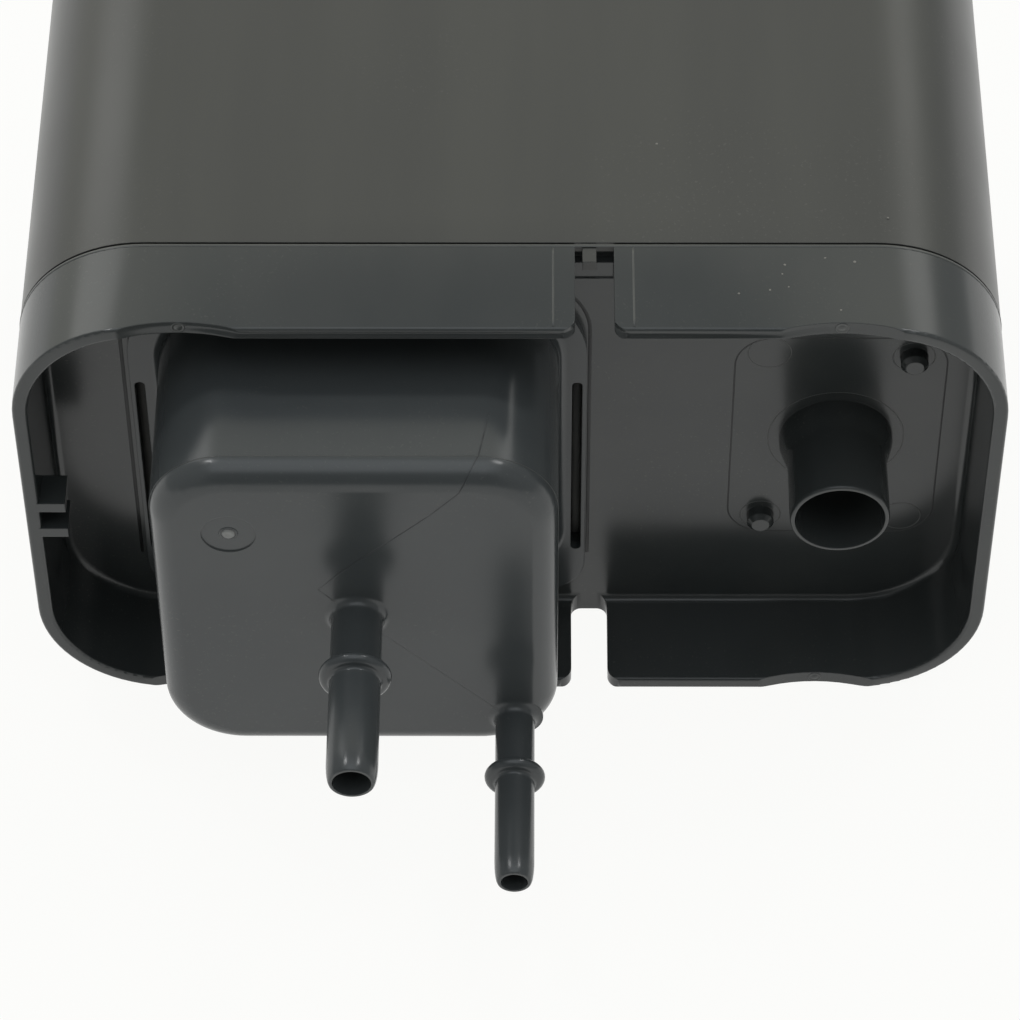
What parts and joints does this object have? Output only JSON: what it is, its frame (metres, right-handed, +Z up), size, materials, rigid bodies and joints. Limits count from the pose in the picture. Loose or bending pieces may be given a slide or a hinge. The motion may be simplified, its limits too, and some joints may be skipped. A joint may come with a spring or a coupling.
{
  "type": "charcoal canister",
  "caption": "Fuel-vapour charcoal canister: rounded box body, skirted port cover with a wide vent tube, and a raised dome with long beaded hose ports.",
  "frame": {"origin": "on the surface it rests on, under the middle of the bounding box", "axes": "+X to the right seen from the port end, +Y from the port end to the far end, +Z up as it lies on its large flat face"},
  "size_m": [0.246, 0.2452, 0.142],
  "materials": {
    "body_plastic": "satin moulded black",
    "cover_plastic": "satin moulded black",
    "dome_plastic": "satin moulded black",
    "plate_plastic": "plain moulded",
    "felt": "needled felt",
    "charcoal": "packed pellets",
    "spring_steel": "drawn wire"
  },
  "bodies": {
    "root": {"body_shell": "body_plastic", "port_cover": "cover_plastic", "vapour_dome": "dome_plastic", "end_cover": "body_plastic", "main_front_felt": "felt", "main_charcoal_bed": "charcoal", "main_rear_felt": "felt", "main_pressure_plate": "plate_plastic", "main_spring_left": "spring_steel", "main_spring_right": "spring_steel", "vent_front_felt": "felt", "vent_charcoal_bed": "charcoal", "vent_rear_felt": "felt", "vent_pressure_plate": "plate_plastic", "vent_spring_lower": "spring_steel", "vent_spring_upper": "spring_steel"}
  },
  "joints": []
}
